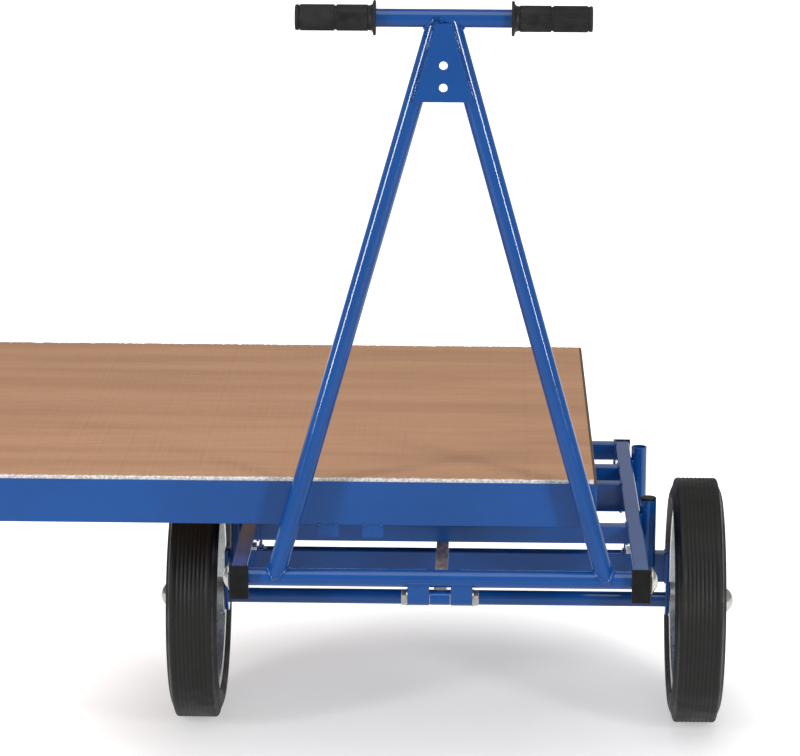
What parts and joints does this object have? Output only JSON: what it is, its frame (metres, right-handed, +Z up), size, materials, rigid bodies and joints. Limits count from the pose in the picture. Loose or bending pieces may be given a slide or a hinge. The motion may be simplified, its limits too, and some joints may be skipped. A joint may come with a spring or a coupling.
{
  "type": "platform handcart",
  "caption": "Flat-deck platform handcart with a turntable-steered front axle, an A-frame drawbar with a T handle, and solid rubber wheels.",
  "frame": {"origin": "bottom centre of the whole cart, on the floor", "axes": "+Z up, +X along the deck towards its steered end; the drawbar is stored upright on the -Y side, with the bogie steered through a right angle"},
  "size_m": [2.243, 1.061, 1.254],
  "materials": {
    "blue_frame": "semi-gloss blue powder coat",
    "board": "beech-coloured film-faced board",
    "tyre": "charcoal solid rubber with fine ribs",
    "wheel_zinc": "zinc-plated pressed steel",
    "bearing_steel": "ground bearing steel",
    "grip_rubber": "black moulded rubber",
    "black_plastic": "black moulded plastic",
    "zinc_fasteners": "bright zinc plate",
    "bare_steel": "dull bare steel bar"
  },
  "bodies": {
    "deck": {"deck_board": "board", "deck_side_rails": "blue_frame", "deck_end_rails": "blue_frame", "deck_bearers": "blue_frame", "edge_lugs": "blue_frame", "turntable_plate": "blue_frame", "turntable_upper_ring": "blue_frame", "upper_ring_bolts": "zinc_fasteners", "rear_axle_beam": "blue_frame", "rear_posts": "blue_frame", "rear_gussets": "blue_frame", "rear_end_plates": "blue_frame", "rear_axle": "blue_frame", "rear_axle_caps": "zinc_fasteners"},
    "bogie": {"bogie_rail_left": "blue_frame", "bogie_rail_right": "blue_frame", "bolster": "blue_frame", "cross_members": "blue_frame", "turntable_bearers": "blue_frame", "sleeves": "blue_frame", "end_plugs": "black_plastic", "rail_bolts": "zinc_fasteners", "front_axle_beam": "blue_frame", "axle_hangers": "blue_frame", "front_end_plates": "blue_frame", "front_axle": "blue_frame", "front_axle_caps": "zinc_fasteners", "turntable_lower_ring": "blue_frame", "turntable_balls": "bearing_steel", "lower_ring_bolts": "zinc_fasteners", "drawbar_shaft": "zinc_fasteners", "drawbar_shaft_caps": "zinc_fasteners", "rod_guide": "blue_frame"},
    "drawbar": {"cross_tube": "blue_frame", "handle_tube": "blue_frame", "drawbar_leg_left": "blue_frame", "drawbar_leg_right": "blue_frame", "gusset_plate": "blue_frame", "grip_left": "grip_rubber", "grip_right": "grip_rubber", "clevis_ears": "blue_frame", "clevis_bolt": "zinc_fasteners"},
    "push_rod": {"push_rod": "bare_steel"},
    "wheel_front_left": {"front_left_tyre": "tyre", "front_left_rim": "wheel_zinc", "front_left_hub": "wheel_zinc", "front_left_rollers": "bearing_steel"},
    "wheel_front_right": {"front_right_tyre": "tyre", "front_right_rim": "wheel_zinc", "front_right_hub": "wheel_zinc", "front_right_rollers": "bearing_steel"},
    "wheel_rear_near": {"rear_near_tyre": "tyre", "rear_near_rim": "wheel_zinc", "rear_near_hub": "wheel_zinc", "rear_near_rollers": "bearing_steel"},
    "wheel_rear_far": {"rear_far_tyre": "tyre", "rear_far_rim": "wheel_zinc", "rear_far_hub": "wheel_zinc", "rear_far_rollers": "bearing_steel"}
  },
  "joints": [
    {"name": "steer", "type": "hinge", "parent": "deck", "child": "bogie", "pos_m": [0.6335, 0.0305, 0.394], "axis": [0, 0, 1], "range_deg": [0, 180]},
    {"name": "drawbar_tilt", "type": "hinge", "parent": "bogie", "child": "drawbar", "pos_m": [0.6335, -0.5015, 0.344], "axis": [1, 0, 0], "range_deg": [0, 80], "stiffness_Nm_per_rad": 35, "springref_deg": -17.19},
    {"name": "rod_swing", "type": "hinge", "parent": "drawbar", "child": "push_rod", "pos_m": [0.6335, -0.5015, 0.313], "axis": [1, 0, 0], "range_deg": [-84, 0]},
    {"name": "front_left_spin", "type": "hinge", "parent": "bogie", "child": "wheel_front_left", "pos_m": [0.2245, -0.1275, 0.205], "axis": [1, 0, 0], "continuous": true},
    {"name": "front_right_spin", "type": "hinge", "parent": "bogie", "child": "wheel_front_right", "pos_m": [1.0565, -0.1275, 0.205], "axis": [1, 0, 0], "continuous": true},
    {"name": "rear_near_spin", "type": "hinge", "parent": "deck", "child": "wheel_rear_near", "pos_m": [-0.8165, -0.3855, 0.205], "axis": [0, 1, 0], "continuous": true},
    {"name": "rear_far_spin", "type": "hinge", "parent": "deck", "child": "wheel_rear_far", "pos_m": [-0.8165, 0.4465, 0.205], "axis": [0, 1, 0], "continuous": true}
  ],
  "couplings": [
    {"joint": "rod_swing", "follows": "drawbar_tilt", "ratio": -1.0411}
  ]
}
